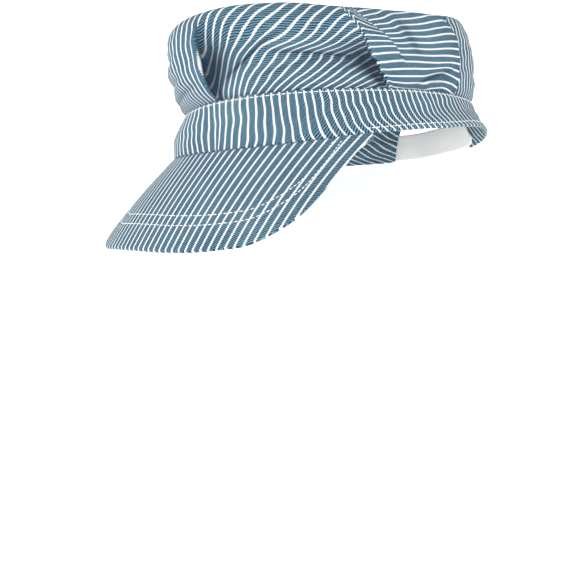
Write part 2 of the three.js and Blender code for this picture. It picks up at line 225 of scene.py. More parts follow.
def bandPoint(turn, depth, inset=0.0):
    turn, depth = np.broadcast_arrays(np.asarray(turn, float), np.asarray(depth, float))
    flare = band["flare"] * aroundValue("flare", turn) * depth
    crease = band["crease"] * aroundValue("crease", turn) * np.sin(math.pi * depth) ** 2
    point = seamPoint(turn) + outward(turn) * (flare - crease - inset)[..., None]
    point[..., 2] -= band["height"] * aroundValue("drop", turn) * depth
    return point


def bandCloth(turn, depth, inset=0.0):
    # with the small rucks of the doubled cloth, none at the seam and little at the hem
    down = depth * band["height"] * band["ruckTall"]
    ruck = band["ruck"] * ripple(arcOf(turn), down, band["ruckSeed"], band["ruckSize"])
    loose = np.sin(math.pi * np.clip(depth, 0, 1)) ** band["ruckFade"]
    return bandPoint(turn, depth, inset - ruck * loose)


def backTurn(side):
    return 180 - np.degrees(np.arcsin(side / (head["seamWidth"] / 2)))


def bandEnd(depth):
    width = band["gapTopWidth"] + (band["gapWidth"] - band["gapTopWidth"]) * np.sqrt(depth)
    return backTurn(width / 2)


def makeBand():
    print("band")
    share = np.linspace(1, -1, band["columns"] + 1)[:, None]
    depth = np.linspace(0, 1, band["rows"] + 1)[None, :]
    turn = share * bandEnd(depth)
    depth = np.broadcast_to(depth, turn.shape)
    points = bandCloth(turn, depth)
    v = depth * band["height"]
    sway = band["sway"] * ripple(arcOf(turn), v * band["swayTall"], band["swaySeed"], band["swaySize"])
    sway = sway * smooth(depth, 0, band["swayFrom"])
    # the cloth is twisted: the stripes kink below the topstitch and run backwards to the hem
    sideways = smooth(np.abs(turn), *band["twistTurns"])
    twist = np.sign(turn) * (band["twist"] * sideways - band["twistFront"])
    kinked = np.maximum(depth - band["kinkFrom"], 0) + band["kinkWave"] * np.sin(2 * math.pi * depth)
    u = arcOf(turn) + sway + band["firstStripe"] * stripePitch - twist * kinked * band["height"]
    piece = makeGrid("cap_band", points, quadUvs(u, v))
    piece.data.flip_normals()
    thicken(piece, band["wall"], 1)
    slantInside(piece)
    return piece


def slantInside(piece):
    # the facing inside the band is cut on the slant
    turned = np.array(headPose.to_3x3())
    layer = piece.data.uv_layers["cloth"]
    for polygon in piece.data.polygons:
        centre = (np.array(polygon.center) / mm - np.array(head["place"])) @ turned
        if np.dot(np.array(polygon.normal) @ turned, centre * [1, 1, 0]) < 0:
            for corner in polygon.loop_indices:
                place = layer.data[corner].uv
                place.x = (place.x + band["insideSlant"] * place.y) / math.hypot(1, band["insideSlant"])


# Crown
crown = {
    "height": 54, "puff": 11, "wall": 1.4, "sewnIn": 0.2, "pole": 1.03, "rowSteps": 6,
    "underBand": 1.5, "underRise": 5, "hollow": 11, "wrinkle": 3, "calmRise": 8,
    # folds of the pleats
    "tuck": 4, "cloth": 1.3, "foldPitch": 0.5, "foldHalf": 2.9, "foldEdge": 6, "foldFrom": (-0.15, 0.35),
    "foldFade": 0.55, "foldLit": (0.3, 0.9), "pleatBend": 0.8,
    # pressed strip behind a pleat
    "strip": 10.5, "stripLift": 0.7, "stripStep": 3, "stripSlide": 1.7, "slideFrom": (0.2, 0.5),
    "stripColumns": 9, "stripFoot": 0.72, "stripWide": (0, 0.3), "stripGone": (0.4, 0.95),
    # pockets under the pleats and the painted shade in them, and creases with their lines of painted shade
    "pocketReach": (0.12, 0.36), "pocketWide": (0, 0.4), "pocketFrom": (-0.1, 0.1), "pocketFade": 0.35,
    "creaseLine": 0.42, "creaseDark": 0.32, "creaseEnds": 0.12, "mmPerDegree": 1.6,
    # ripples of the cloth, and how the stripes run over them
    "ruck": 0.55, "ruckSize": 21, "ruckWide": 0.7, "ruckTall": 1.5, "ruckSeed": 3,
    "fineRuck": 0.35, "fineSize": 0.4, "fineTall": 1.2, "fineSeed": 8,
    "sway": 1.1, "swaySize": 44, "swaySeed": 4, "swayRise": 12, "follow": 0.55,
    "steepFrom": 8, "flatFrom": 6, "stripeMargin": 30, "stripeSamples": 400, "topFrom": 0.03,
}
# from the seam up over the edge and in to the middle: share of the height, share of the puff at the
# front, side and back, and how far the row is drawn in
crownRows = {
    "rise": [0, 0.05, 0.12, 0.21, 0.31, 0.42, 0.53, 0.64, 0.75, 0.86, 0.95, 0.99, 1.0, 1.01, 1.02, 1.03],
    "front": [0, 0.22, 0.5, 0.78, 0.95, 1.04, 1.06, 1.02, 0.9, 0.66, 0.28, -0.2, -0.6, -0.6, -0.4, -0.2],
    "side": [0, 0.1, 0.24, 0.38, 0.5, 0.6, 0.66, 0.7, 0.7, 0.64, 0.45, 0.05, -0.4, -0.5, -0.4, -0.2],
    "back": [0, 0.03, 0.07, 0.1, 0.12, 0.1, 0.04, -0.1, -0.35, -0.7, -1.1, -1.4, -1.5, -1.2, -0.7, -0.3],
    "drawn": [0, 0, 0, 0, 0, 0, 0, 0, 0, 0, 0, 0.01, 0.06, 0.22, 0.45, 0.72],
}
# foot and head are the pleat's turn at the seam and at the top; over is 1 where the cloth on the side
# of the growing turn lies on top; tuck and hollow are shares of the crown's; spread and fade say how far
# round and how high the hollow goes; dark is the painted shade of its pocket, gone at the height darkTo;
# columns, lean, gather and steep are of the facet after the pleat: lean is the slant of its stripes from
# one end to the other, gather brings them closer, and steep changes their slant towards the top and the seam
pleats = [
    {"foot": -108, "head": -100, "over": 1, "tuck": 0.5, "hollow": 0.25, "spread": 12, "fade": 0.97,
     "dark": 0.2, "darkTo": 0.8, "columns": 30, "lean": (-92, -82)},
    {"foot": -71, "head": -46, "over": -1, "tuck": 0.8, "hollow": 0.8, "spread": 22, "fade": 0.95,
     "dark": 0.8, "darkTo": 0.65, "columns": 56, "lean": (-41, -3), "gather": 1.25},
    {"foot": 0, "head": -2, "over": -1, "tuck": 1.0, "hollow": 1.0, "spread": 24, "fade": 0.95,
     "dark": 0.9, "darkTo": 0.9, "columns": 92, "lean": (20, 34, 42, 47, 51, 57), "steep": (0.8, 1.25)},
    {"foot": 71, "head": 54, "over": 1, "tuck": 0.8, "hollow": 0.8, "spread": 22, "fade": 0.82,
     "dark": 0.88, "darkTo": 0.7, "columns": 34, "lean": (80, 93), "strip": True},
    {"foot": 108, "head": 100, "over": -1, "tuck": 0.5, "hollow": 0.25, "spread": 12, "fade": 0.97,
     "dark": 0.2, "darkTo": 0.8, "columns": 70, "lean": (160, 200)},
]
# across a pleat: how far ahead of its line and how far up on the fold the cloth lies
foldPath = [
    (-0.3, 1.0), (-0.05, 0.97), (0.04, 0.86), (-0.06, 0.7), (-0.5, 0.52), (-0.95, 0.42),
    (-1.05, 0.32), (-0.9, 0.2), (-0.35, 0.08), (0.3, 0.0), (0.8, 0.0),
]
# turn and width in degrees, rise and tallness in shares of the height, depth in shares of the wrinkle
dents = [
    (40, 30, 0.4, 0.1, 0.9), (38, 30, 0.62, 0.1, -0.7), (15, 9, 0.72, 0.12, 0.5),
    (-35, 14, 0.3, 0.1, 0.5), (-48, 10, 0.7, 0.12, 0.4), (92, 10, 0.25, 0.12, 0.8),
    (96, 8, 0.6, 0.1, -0.3), (-92, 12, 0.35, 0.12, 0.7), (150, 10, 0.4, 0.16, 0.5),
    (-160, 12, 0.5, 0.16, 0.5),
]
# narrow creases: turn and rise at both ends, width in mm and depth in mm, negative for a ridge
creases = [
    (6, 0.22, 30, 0.62, 2.4, 2.6), (4, 0.33, 27, 0.7, 3.4, -1.1), (25, 0.43, 57, 0.4, 2.4, 2.4),
    (25, 0.54, 57, 0.51, 4.0, -1.3), (16, 0.15, 42, 0.32, 2.6, 1.3), (20, 0.08, 44, 0.24, 3.4, -0.8),
    (46, 0.2, 62, 0.3, 3.0, 0.8), (-60, 0.28, -14, 0.34, 2.6, 1.5), (-62, 0.4, -20, 0.46, 3.0, -1.2),
    (-62, 0.52, -18, 0.58, 2.8, 1.3), (-55, 0.72, -20, 0.8, 3.0, 1.0), (-44, 0.1, -6, 0.2, 2.6, 1.5),
    (66, 0.9, 76, 0.45, 4.0, -1.5), (73, 0.9, 83, 0.4, 5.0, 1.5), (96, 0.94, 104, 0.84, 2.6, 1.2),
    (82, 0.06, 103, 0.3, 2.6, 2.2), (88, 0.02, 105, 0.16, 2.4, -1.8), (88, 0.3, 104, 0.46, 3.0, -1.2),
    (125, 0.3, 165, 0.42, 4.0, 0.8), (-165, 0.55, -125, 0.4, 4.0, 0.8), (118, 0.5, 134, 0.7, 3.0, 0.8),
    (-100, 0.2, -80, 0.32, 3.0, 1.0), (-64, 0.62, -40, 0.5, 3.0, 1.0), (200, 0.2, 228, 0.3, 3.5, 0.7),
]


def profile(column, p):
    return through(np.arange(len(crownRows["rise"])), crownRows[column], p)


def crownPoint(turn, p):
    turn, p = np.broadcast_arrays(np.asarray(turn, float), np.asarray(p, float))
    along = np.cos(np.radians(turn))
    fore = np.where(along > 0, profile("front", p), profile("back", p))
    puff = crown["puff"] * (profile("side", p) * (1 - along**2) + fore * along**2)
    drawn = profile("drawn", p)
    height = crown["height"] * (aroundValue("rise", turn) * (1 - drawn) + drawn)
    tucked = crown["underBand"] * (1 - smooth(profile("rise", p) * crown["height"], 0, crown["underRise"]))
    point = seamPoint(turn) + outward(turn) * (puff - tucked)[..., None]
    point[..., 0] *= 1 - drawn
    point[..., 1] *= 1 - drawn
    point[..., 2] = point[..., 2] * (1 - drawn) - crown["sewnIn"] + height * profile("rise", p)
    return point


def dentDepth(turn, rise):
    depth = np.zeros(np.broadcast(turn, rise).shape)
    for at, width, share, tall, deep in dents:
        across, up = turnFrom(at, turn) / width, (rise - share) / tall
        depth += crown["wrinkle"] * deep * np.exp(-across * across - up * up)
    for crease in creases:
        gone, strength = creaseDistance(crease, turn, rise)
        width, deep = crease[4:]
        depth += deep * np.exp(-((gone / width) ** 2)) * strength
    return depth


def creaseDistance(crease, turn, rise):
    # distance from the crease in mm on the unrolled side, and how strong it is at the nearest place
    fromTurn, fromRise, toTurn, toRise = crease[:4]
    ax, ay = turnFrom(fromTurn, turn) * crown["mmPerDegree"], (rise - fromRise) * crown["height"]
    bx, by = (toTurn - fromTurn) * crown["mmPerDegree"], (toRise - fromRise) * crown["height"]
    share = np.clip((ax * bx + ay * by) / (bx * bx + by * by), 0, 1)
    strength = np.sin(math.pi * (crown["creaseEnds"] + (1 - 2 * crown["creaseEnds"]) * share))
    return np.hypot(ax - share * bx, ay - share * by), strength


def creaseShade(turn, rise):
    # a thin line of painted shade at the bottom of the sharp creases
    shade = np.zeros(np.broadcast(turn, rise).shape)
    for crease in creases:
        gone, strength = creaseDistance(crease, turn, rise)
        width, deep = crease[4:]
        line = np.exp(-((gone / (crown["creaseLine"] * width)) ** 2))
        shade += crown["creaseDark"] * max(deep, 0) * line * strength
    return shade


def pleatStrength(pleat, rise):
    fading = smooth(rise, crown["foldFade"] * pleat["fade"], pleat["fade"])
    return smooth(rise, *crown["foldFrom"]) * (1 - fading)


def pleatTurn(pleat, rise):
    return pleat["foot"] + (pleat["head"] - pleat["foot"]) * np.clip(rise, 0, 1) ** crown["pleatBend"]


def underPleat(pleat, turn, rise, reach):
    # 1 at the pleat's line and falling off on the side that lies under it, 0 on the other side
    away = -pleat["over"] * turnFrom(pleatTurn(pleat, rise), turn)
    return np.where(away >= -1e-6, np.exp(-((away / reach) ** 2)), 0)


def hollowDepth(turn, rise):
    depth = np.zeros(np.broadcast(turn, rise).shape)
    for pleat in pleats:
        inside = underPleat(pleat, turn, rise, pleat["spread"])
        depth += crown["hollow"] * pleat["hollow"] * pleatStrength(pleat, rise) * inside
    return depth


def pocketShade(turn, rise):
    # 1 at the bottom of the pocket under each pleat: painted shade where the hollow lies in shadow
    shade = np.zeros(np.broadcast(turn, rise).shape)
    near, more = crown["pocketReach"]
    for pleat in pleats:
        reach = pleat["spread"] * (near + more * smooth(rise, *crown["pocketWide"]))
        height = smooth(rise, *crown["pocketFrom"]) * (1 - smooth(rise, crown["pocketFade"], pleat["darkTo"]))
        shade += pleat["dark"] * height * underPleat(pleat, turn, rise, reach)
    return np.clip(shade, 0, 1)


def stripWidth(rise):
    # share of the full width of the pressed strip: narrower at the foot and gone at the top
    foot = crown["stripFoot"]
    return foot + (1 - foot) * smooth(rise, *crown["stripWide"]) - foot * smooth(rise, *crown["stripGone"])


def stripSlid(rise):
    # how far its stripes are moved on against the cloth beside it, in mm
    return crown["stripSlide"] * smooth(rise, *crown["slideFrom"])


def clothLine(facet, turn, lift, shade, slide):
    # one line of points up the crown, with the facet whose stripes its cloth carries
    return {"facet": facet, "turn": turn, "lift": lift, "shade": shade, "slide": slide}


def foldLines(index, rise):
    # across the fold of a pleat, from the cloth before it to the cloth after it
    pleat = pleats[index]
    line, strength = pleatTurn(pleat, rise), pleatStrength(pleat, rise)
    path = foldPath if pleat["over"] < 0 else foldPath[::-1]
    low = -hollowDepth(line, rise)
    slid = stripSlid(rise)
    lines = []
    for k, (ahead, up) in enumerate(path):
        flat = (k - (len(path) - 1) / 2) * crown["foldPitch"]
        folded = -pleat["over"] * ahead * crown["tuck"] * pleat["tuck"]
        if pleat["over"] < 0:
            before = k < crown["foldEdge"]
        else:
            before = k < len(path) - 1 - crown["foldEdge"]
        # the painted shade of the pocket fades out as the cloth comes up the fold into the light
        lines.append(clothLine(
            (index - 1) % len(pleats) if before else index,
            line + (flat * (1 - strength) + folded * strength) * perMm,
            low * (1 - up) + crown["cloth"] * strength * up,
            pocketShade(line, rise) * (1 - smooth(up, *crown["foldLit"])),
            slid * (pleat.get("strip", False) and not before),
        ))
    return lines


def stripLines(index, rise, start):
    # the pressed strip beside the fold, a little raised and with a step down at its far edge
    width = stripWidth(rise)
    slid = stripSlid(rise)
    edge = np.maximum(pleatTurn(pleats[index], rise) + crown["strip"] * width, start + perMm)
    lines = []
    for k in range(1, crown["stripColumns"] + 1):
        turn = start + (edge - start) * k / crown["stripColumns"]
        lift = crown["stripLift"] * width * smooth(k, 0, crown["stripStep"]) - hollowDepth(turn, rise)
        lines.append(clothLine(index, turn, lift, rise * 0, slid))
    turn = edge + perMm
    lines.append(clothLine(index, turn, -hollowDepth(turn, rise), rise * 0, slid))
    return lines


def crownLines(rise):
    lines = []
    for index, pleat in enumerate(pleats):
        after = pleats[(index + 1) % len(pleats)]
        lines += foldLines(index, rise)
        start = pleatTurn(pleat, rise) + crown["foldHalf"] * perMm
        end = pleatTurn(after, rise) - crown["foldHalf"] * perMm
        if pleat.get("strip", False):
            lines += stripLines(index, rise, start)
            start = lines[-1]["turn"]
        for k in range(1, pleat["columns"]):
            turn = start + np.mod(end - start, 360) * k / pleat["columns"]
            lines.append(clothLine(index, turn, -hollowDepth(turn, rise), pocketShade(turn, rise), rise * 0))
    return lines


def stripePlace(facet, turn, down):
    # place across and along the stripes, in mm, on one facet; down is measured from about half way up
    pleat, after = pleats[facet], pleats[(facet + 1) % len(pleats)]
    margin = crown["stripeMargin"]
    first = arcOf((pleat["foot"] + pleat["head"]) / 2)
    lastTurn = (after["foot"] + after["head"]) / 2
    last = arcOf(lastTurn + (360 if lastTurn < pleat["foot"] else 0))
    turn = pleat["foot"] + turnFrom(pleat["foot"], turn - margin) + margin
    arc = arcOf(turn)
    # the lean is added up along the facet, so that the stripes keep their distance
    steps = np.linspace(first - margin, last + margin, crown["stripeSamples"])
    shares = (steps - first) / (last - first)
    leans = np.radians(np.interp(shares, np.linspace(0, 1, len(pleat["lean"])), pleat["lean"]))
    sideways = np.cumsum(np.cos(leans)) * (steps[1] - steps[0])
    upwards = np.cumsum(np.sin(leans)) * (steps[1] - steps[0])
    lean = np.interp(arc, steps, leans)
    topShare, lowShare = pleat.get("steep", (1, 1))
    up, low = np.maximum(-down - crown["steepFrom"], 0), np.maximum(down - crown["flatFrom"], 0)
    down = down + up * (1 - topShare) + low * (lowShare - 1)
    across = np.interp(arc, steps, sideways) - np.interp(first, steps, sideways) + down * np.sin(lean)
    along = np.interp(first, steps, upwards) - np.interp(arc, steps, upwards) + down * np.cos(lean)
    gather = pleat.get("gather", 1)
    return across * gather, along * gather


def crownUvs(facets, cloth, topRow):
    # stripes: by facet on the side, fore and aft on the top
    count, faceRows = len(facets), cloth["turn"].shape[1] - 1
    uvs, shadeCorners = np.zeros((count, faceRows, 4, 2)), np.zeros((count, faceRows, 4))
    onTop = np.arange(faceRows) >= topRow
    for i in range(count):
        n = (i + 1) % count
        for c, (line, step) in enumerate([(i, 0), (i, 1), (n, 1), (n, 0)]):
            rows = np.arange(faceRows) + step
            u, v = stripePlace(facets[n], cloth["turn"][line, rows], cloth["down"][line, rows])
            u = u + cloth["sway"][line, rows] + cloth["slide"][n, rows]
            x, y = cloth["points"][line, rows, 0], cloth["points"][line, rows, 1]
            uvs[i, :, c, 0] = np.where(onTop, x, u)
            uvs[i, :, c, 1] = np.where(onTop, -y, v)
            # the painted shade at the same corners
            shadeCorners[i, :, c] = cloth["shade"][line, rows]
    return uvs, shadeCorners


def makeCrown():
    print("crown")
    lastRow = len(crownRows["rise"]) - 1
    p = np.linspace(0, lastRow, lastRow * crown["rowSteps"] + 1)
    rise = profile("rise", p)
    lines = crownLines(rise)
    facets = [line["facet"] for line in lines]
    cloth = {key: np.array([line[key] for line in lines]) for key in ("turn", "lift", "shade", "slide")}
    turn = cloth["turn"]
    # painted shade of the pockets under the pleats, with thin lines of painted shade in the creases
    cloth["shade"] = np.clip(cloth["shade"] + creaseShade(turn, rise), 0, 1)
    grid = np.broadcast_to(p, turn.shape)
    arc, up = arcOf(turn), profile("rise", grid) * crown["height"]
    # dents and ripples, none at the seam and on the top
    calm = smooth(up, 0, crown["calmRise"]) * (1 - profile("drawn", grid)) ** 2
    dent = dentDepth(turn, profile("rise", grid)) * calm
    ruckUp, fineSize = up * crown["ruckTall"], crown["ruckSize"] * crown["fineSize"]
    broad = ripple(arc * crown["ruckWide"], ruckUp, crown["ruckSeed"], crown["ruckSize"])
    fine = ripple(arc, up * crown["fineTall"], crown["fineSeed"], fineSize)
    lift = cloth["lift"] - dent + crown["ruck"] * broad * calm
    lift = lift + crown["fineRuck"] * crown["ruck"] * fine * calm
    points = crownPoint(turn, grid) + outward(turn) * lift[..., None]
    sway = crown["sway"] * ripple(arc, up, crown["swaySeed"], crown["swaySize"])
    cloth["sway"] = sway * smooth(up, 0, crown["swayRise"]) + crown["follow"] * dent
    # length down the cloth from the row that lies about half way up the side
    steps = np.linalg.norm(np.diff(points, axis=1), axis=-1)
    along = np.concatenate([np.zeros((len(points), 1)), np.cumsum(steps, axis=1)], axis=1)
    halfWay = (grid.shape[1] - 1) // 3
    cloth["down"] = along[:, halfWay:halfWay + 1] - along
    cloth["points"] = points
    topRow = next(k for k in range(len(p)) if profile("drawn", p[k]) > crown["topFrom"])
    uvs, shadeCorners = crownUvs(facets, cloth, topRow)
    pole = (0, 0, crown["height"] * crown["pole"] - crown["sewnIn"])
    poleUv = np.concatenate([points[:, -1, :2] * [1, -1], [[0, 0]]])
    piece = makeGrid("cap_crown", points, uvs, True, pole, poleUv, shadeCorners)
    piece.data.flip_normals()
    thicken(piece, crown["wall"])
    return piece


# Visor
visor = {
    "reach": 76, "halfArc": 96, "wall": 2.6, "fanBack": 77, "fanRise": 86, "fanSide": 8,
    "droop": 5, "droopBack": 3, "columns": 150, "rows": 30, "gap": 0.3, "sewnIn": 0.6,
    "firstStripe": -4.6, "stitchRows": (16.8, 23.7), "stitchFrom": 1.5,
    "stitchEnd": 0.999, "stitchSamples": 500, "flatTurns": 110,
}
visorOutline = {
    "at": [0, 0.15, 0.3, 0.38, 0.47, 0.57, 0.67, 0.78, 0.89, 1.0],
    "right": [0.985, 0.955, 0.93, 0.92, 0.905, 0.82, 0.58, 0.33, 0.15, 0.04],
    "left": [0.985, 1.0, 0.99, 0.965, 0.88, 0.745, 0.54, 0.32, 0.14, 0.04],
}
# the ribs of the visor's cone run together at this point above the head
fanPoint = np.array([
    visor["fanSide"],
    visor["fanBack"] - head["seamLength"] / 2,
    visor["fanRise"] - band["height"],
])


def visorRoot(turn):
    return bandPoint(turn, 1) + np.array([0, 0, -visor["gap"]])


def visorPoint(turn, along):
    root = visorRoot(turn)
    rib = root - fanPoint
    rib /= np.linalg.norm(rib, axis=-1, keepdims=True)
    droop = visor["droop"] * (along / visor["reach"]) ** 3
    sunk = np.stack([np.zeros_like(droop), droop / visor["droopBack"], -droop], -1)
    return root + rib * along[..., None] + sunk


def visorEdge():
    # turn at which the visor's root ends
    turn, length = 0.0, 0.0
    while length < visor["halfArc"]:
        here, ahead = visorRoot(np.array(turn)), visorRoot(np.array(turn + turnStep))
        length += float(np.linalg.norm(here - ahead))
        turn += turnStep
    return turn


def visorLength(share):
    # share is 0 in the middle, -1 at the wearer's right end of the root and 1 at the left end
    right = through(visorOutline["at"], visorOutline["right"], np.abs(share))
    left = through(visorOutline["at"], visorOutline["left"], np.abs(share))
    return visor["reach"] * np.where(share < 0, right, left)


def visorFlat(turn, along):
    # the visor unrolled: across and along the stripes, in mm
    turns = np.arange(-visor["flatTurns"], visor["flatTurns"] + turnStep, turnStep)
    roots = visorRoot(turns)
    far = np.linalg.norm(roots - fanPoint, axis=-1)
    step = np.linalg.norm(np.diff(roots, axis=0), axis=-1)
    opened = np.sqrt(np.maximum(step**2 - np.diff(far) ** 2, 0)) / (far[1:] + far[:-1]) * 2
    angles = np.concatenate([[0], np.cumsum(opened)])
    angles -= np.interp(visor["firstStripe"], turns, angles)
    angle, radius = np.interp(turn, turns, angles), np.interp(turn, turns, far) + along
    return radius * np.sin(angle), radius * np.cos(angle)


def makeVisor():
    print("visor")
    edge = visorEdge()
    share = np.sin(math.pi / 2 * np.linspace(-1, 1, visor["columns"] + 1))[:, None]
    down = np.linspace(0, 1, visor["rows"] + 1)[None, :]
    turn = np.broadcast_to(share * edge, (visor["columns"] + 1, visor["rows"] + 1))
    # the inner edge reaches up to the hem of the band, whose edges are rounded off
    along = visorLength(share) * down - visor["sewnIn"] * (1 - down)
    u, v = visorFlat(turn, along)
    points = visorPoint(turn, along)
    piece = makeGrid("cap_visor", points, quadUvs(u, v))
    thicken(piece, visor["wall"], 1)
    return piece


# Adjuster tape
tape = {
    "width": 17, "wall": 1.6, "cloth": 1.4, "lap": 8, "corner": 5, "lift": 1, "pull": 3, "gap": 0.3,
    "columns": 60, "rows": 10, "endShare": 0.985,
}


def tapePoint(side, high):
    # side is mm from the middle of the back, high is a share of the tape's width
    turn = backTurn(side)
    height = band["height"] * aroundValue("drop", turn)
    half = band["gapWidth"] / 2 + tape["lap"]
    into = np.clip((np.abs(side) - (half - tape["corner"])) / tape["corner"], 0, 1)
    trim = tape["corner"] * (1 - np.sqrt(1 - into**2))
    depth = 1 - (tape["lift"] + trim + (tape["width"] - 2 * trim) * high) / height
    crossed = smooth(side, -band["gapTopWidth"] / 2, band["gapTopWidth"] / 2)
    pulled = tape["pull"] * np.maximum(0, 1 - (side / (band["gapTopWidth"] / 2)) ** 2) ** 2
    outer, inner = -tape["wall"] - tape["gap"], band["wall"] + tape["gap"]
    return bandPoint(turn, depth, outer + (inner - outer) * crossed + pulled)


def makeTape():
    print("tape")
    half = band["gapWidth"] / 2 + tape["lap"]
    share = np.linspace(-tape["endShare"], tape["endShare"], tape["columns"] + 1)
    side = half * np.sin(math.pi / 2 * share)[:, None]
    high = np.linspace(0, 1, tape["rows"] + 1)[None, :]
    side = np.broadcast_to(side, (tape["columns"] + 1, tape["rows"] + 1))
    points = tapePoint(side, np.broadcast_to(high, side.shape))
    piece = makeGrid("cap_back_strap", points, quadUvs(side, high * tape["width"] + side * 0))
    thicken(piece, tape["cloth"], 1)
    return piece


# Stitches
stitch = {
    "length": 2.6, "space": 3.2, "radius": 0.3, "sides": 6, "bodyShare": 0.6, "endSize": 0.4, "dip": 0.16,
    "start": 0.8, "lift": 0.02, "topInset": 1.8, "topTurn": 156, "hemInset": 3.0, "hemTurns": (58, 152),
}


def selectEnd(piece, side):
    for face in piece.data.polygons:
        face.select = face.normal.z * side > 0.9
    for edge in piece.data.edges:
        edge.select = False
    for vertex in piece.data.vertices:
        vertex.select = False


def modelStitch():
    # one stitch along Z with its outside towards X; the ends taper and dip into the cloth
    deselectAll()
    bodyLength = stitch["length"] * stitch["bodyShare"]
    bpy.ops.mesh.primitive_cylinder_add(vertices=stitch["sides"], radius=stitch["radius"], depth=bodyLength)
    piece = bpy.context.object
    for side in (1, -1):
        selectEnd(piece, side)
        step = (-stitch["dip"], 0, side * (stitch["length"] - bodyLength) / 2)
        middle = (-stitch["dip"], 0, side * stitch["length"] / 2)
        bpy.ops.object.mode_set(mode="EDIT")
        bpy.ops.mesh.select_mode(type="FACE")
        bpy.ops.mesh.extrude_region_move(TRANSFORM_OT_translate={"value": step})
        bpy.ops.transform.resize(value=(stitch["endSize"], stitch["endSize"], 1), center_override=middle)
        bpy.ops.object.mode_set(mode="OBJECT")
    points = np.array([vertex.co[:] for vertex in piece.data.vertices])
    faces = [list(face.vertices) for face in piece.data.polygons]
    mesh = piece.data
    bpy.data.objects.remove(piece)
    bpy.data.meshes.remove(mesh)
    return points, faces


def alongPath(at, run, values):
    return np.array([np.interp(at, run, values[:, k]) for k in range(3)])


def makeStitches(name, paths, model, modelFaces):
    # copies of the one stitch along lines of points, each with its outward direction
    print(name)
    verts, faces = [], []
    for points, normals in paths:
        steps = np.linalg.norm(np.diff(points, axis=0), axis=-1)
        run = np.concatenate([[0], np.cumsum(steps)])
        for at in np.arange(stitch["start"], run[-1] - stitch["length"], stitch["space"]):
            first = alongPath(at, run, points)
            last = alongPath(at + stitch["length"], run, points)
            out = alongPath(at + stitch["length"] / 2, run, normals)
            line = (last - first) / np.linalg.norm(last - first)
            across = np.cross(line, out)
            across /= np.linalg.norm(across)
            out = np.cross(across, line)
            faces += [[corner + len(verts) for corner in face] for face in modelFaces]
            verts += list((first + last) / 2 + model @ np.array([out, across, line]))
    flat = (np.c_[np.array(verts), np.ones(len(verts))] @ np.array(headPose).T)[:, :3] * mm
    mesh = bpy.data.meshes.new(name)
    mesh.from_pydata([tuple(point) for point in flat], [], faces)
    piece = bpy.data.objects.new(name, mesh)
    bpy.context.scene.collection.objects.link(piece)
    shadeSmooth(piece)
    return piece


def bandDrop(turn):
    return band["height"] * aroundValue("drop", turn)


def bandPath(turn, depth):
    return bandCloth(turn, depth, -stitch["lift"]), outward(turn)


def bandStitches():
    # one row under the seam, and one above the hem on each side of the visor
    seam = np.arange(-stitch["topTurn"], stitch["topTurn"], turnStep)
    near, far = stitch["hemTurns"]
    paths = [bandPath(seam, stitch["topInset"] / bandDrop(seam))]
    for hem in (np.arange(near, far, turnStep), np.arange(-far, -near, turnStep)):
        paths.append(bandPath(hem, 1 - stitch["hemInset"] / bandDrop(hem)))
    return paths


def visorNormal(turn, along):
    step = 0.2
    across = visorPoint(turn + step, along) - visorPoint(turn, along)
    down = visorPoint(turn, along + step) - visorPoint(turn, along)
    n = np.cross(down, across)
    return n / np.linalg.norm(n, axis=-1, keepdims=True)


def visorStitches():
    # two rows along the rim, ending where they meet the band
    paths = []
    edge = visorEdge()
    share = np.linspace(-visor["stitchEnd"], visor["stitchEnd"], visor["stitchSamples"])
    for inset in visor["stitchRows"]:
        along = visorLength(share) - inset
        inside = along > visor["stitchFrom"]
        turn, along = share[inside] * edge, along[inside]
        paths.append((visorPoint(turn, along), visorNormal(turn, along)))
    return paths


# Materials
denim = {
    "indigo": (0.012, 0.045, 0.09, 1), "faded": (0.2, 0.345, 0.425, 1), "white": (0.88, 0.92, 0.92, 1),
    # pocket colour and its share: painted shade, the near black blue the cloth is darkened to in the pockets
    # and creases
    "pocketShadow": (0.012, 0.022, 0.045, 1), "pocketShadowShare": 0.93,
    "stripeWidth": 0.19, "stripeSoft": 0.065, "ragged": 0.05, "serrated": 0.05,
    "twillScale": 2.7, "wornShare": 0.55, "wornBase": -0.84, "yarnShare": 1.0, "fleckShare": 0.75,
    "whiteBase": 0.84, "whiteYarn": 0.14, "roughness": 0.92, "sheen": 0.03,
    "crumple": 1.4, "yarnRelief": 0.6, "stripeRelief": 0.35, "relief": 0.0004, "reliefStrength": 0.8,
}
tapeLook = {
    "ribs": 3.4, "light": (0.97, 0.965, 0.93, 1), "dark": (0.78, 0.775, 0.74, 1), "roughness": 0.85,
    "soiled": 0.5, "soiledBase": 0.15, "ribShare": 0.4, "relief": 0.0003,
}
threadLook = {
    "light": (0.92, 0.94, 0.95, 1), "dark": (0.76, 0.8, 0.82, 1), "roughness": 0.7, "spunSize": 900.0,
    "relief": 0.0002,
}
weaveLook = {"wobbleSize": 2.2, "wobble": 0.35, "fleckStretch": (14, 3.4, 1)}
wearLook = {"broadSize": 22.0, "crumpleSize": 120.0}
clothShine = 0.08
bumpStrength = 0.5


def addNode(tree, kind, **values):
    node = tree.nodes.new(kind)
    for key, value in values.items():
        if hasattr(node, key):
            setattr(node, key, value)
        else:
            node.inputs[key].default_value = value
    return node


def mathNode(tree, operation, a, b=None, c=None):
    node = tree.nodes.new("ShaderNodeMath")
    node.operation = operation
    for socket, value in zip(node.inputs, (a, b, c)):
        if value is None:
            continue
        if isinstance(value, (int, float)):
            socket.default_value = value
        else:
            tree.links.new(value, socket)
    return node.outputs[0]


def clamped(tree, value):
    return mathNode(tree, "MINIMUM", mathNode(tree, "MAXIMUM", value, 0.0), 1.0)


